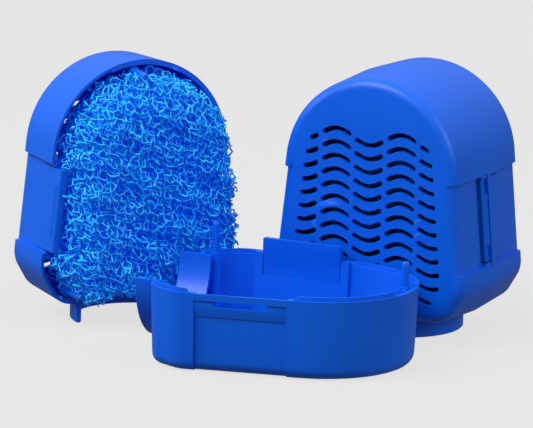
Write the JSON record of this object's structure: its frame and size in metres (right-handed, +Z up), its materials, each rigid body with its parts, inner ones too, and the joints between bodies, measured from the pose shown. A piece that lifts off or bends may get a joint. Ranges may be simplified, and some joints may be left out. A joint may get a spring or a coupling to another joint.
{
  "type": "sponge filter",
  "caption": "Pond pump inlet filters: slotted plastic half shells that snap together round a coarse foam block, one closed and one opened.",
  "frame": {"origin": "centre of the closed filter's collar, at the collar's lower end", "axes": "+Z up, -Y the way the closed filter's front slotted face looks, +X to the right as seen from in front"},
  "size_m": [0.1747, 0.1439, 0.1],
  "materials": {
    "shell_plastic": "satin",
    "filter_foam": "open-cell foam, matt"
  },
  "bodies": {
    "base": {"closed_front_shell": "shell_plastic", "closed_front_grille": "shell_plastic", "closed_front_collar": "shell_plastic", "closed_front_top_peg": "shell_plastic", "closed_front_base_peg": "shell_plastic", "open_foam": "filter_foam"},
    "front_tab": {"closed_front_tab": "shell_plastic"},
    "foam_block": {"closed_foam": "filter_foam"},
    "rear_half": {"closed_rear_shell": "shell_plastic", "closed_rear_grille": "shell_plastic", "closed_rear_collar": "shell_plastic", "closed_rear_top_peg": "shell_plastic", "closed_rear_base_peg": "shell_plastic"},
    "rear_tab": {"closed_rear_tab": "shell_plastic"},
    "open_half": {"open_shell": "shell_plastic", "open_grille": "shell_plastic", "open_collar": "shell_plastic", "open_top_peg": "shell_plastic", "open_base_peg": "shell_plastic"},
    "open_half_tab": {"open_tab": "shell_plastic"},
    "loose_half": {"loose_shell": "shell_plastic", "loose_grille": "shell_plastic", "loose_collar": "shell_plastic", "loose_top_peg": "shell_plastic", "loose_base_peg": "shell_plastic"},
    "loose_half_tab": {"loose_tab": "shell_plastic"}
  },
  "joints": [
    {"name": "foam_slide", "type": "slide", "parent": "base", "child": "foam_block", "axis": [0, 1, 0], "range_m": [0, 0.06]},
    {"name": "rear_half_slide", "type": "slide", "parent": "foam_block", "child": "rear_half", "axis": [0, 1, 0], "range_m": [0, 0.06]},
    {"name": "open_half_slide", "type": "slide", "parent": "base", "child": "open_half", "axis": [-0.809, 0.5878, 0], "range_m": [0, 0.045]},
    {"name": "loose_half_lift", "type": "slide", "parent": "base", "child": "loose_half", "axis": [0, 0, 1], "range_m": [0, 0.03]},
    {"name": "front_tab_flex", "type": "hinge", "parent": "base", "child": "front_tab", "pos_m": [-0.03653, -0.008, 0.04492], "axis": [-0.1011, 0, -0.9949], "range_deg": [0, 5], "stiffness_Nm_per_rad": 0.2},
    {"name": "rear_tab_flex", "type": "hinge", "parent": "rear_half", "child": "rear_tab", "pos_m": [0.03653, 0.008, 0.04492], "axis": [0.1011, 0, -0.9949], "range_deg": [0, 5], "stiffness_Nm_per_rad": 0.2},
    {"name": "open_tab_flex", "type": "hinge", "parent": "open_half", "child": "open_half_tab", "pos_m": [-0.11545, -0.07086, 0.04492], "axis": [0.0594, 0.0818, 0.9949], "range_deg": [0, 5], "stiffness_Nm_per_rad": 0.2},
    {"name": "loose_tab_flex", "type": "hinge", "parent": "loose_half", "child": "loose_half_tab", "pos_m": [-0.0236, -0.03457, 0.0215], "axis": [0.9993, 0.0384, 0], "range_deg": [0, 5], "stiffness_Nm_per_rad": 0.2}
  ]
}
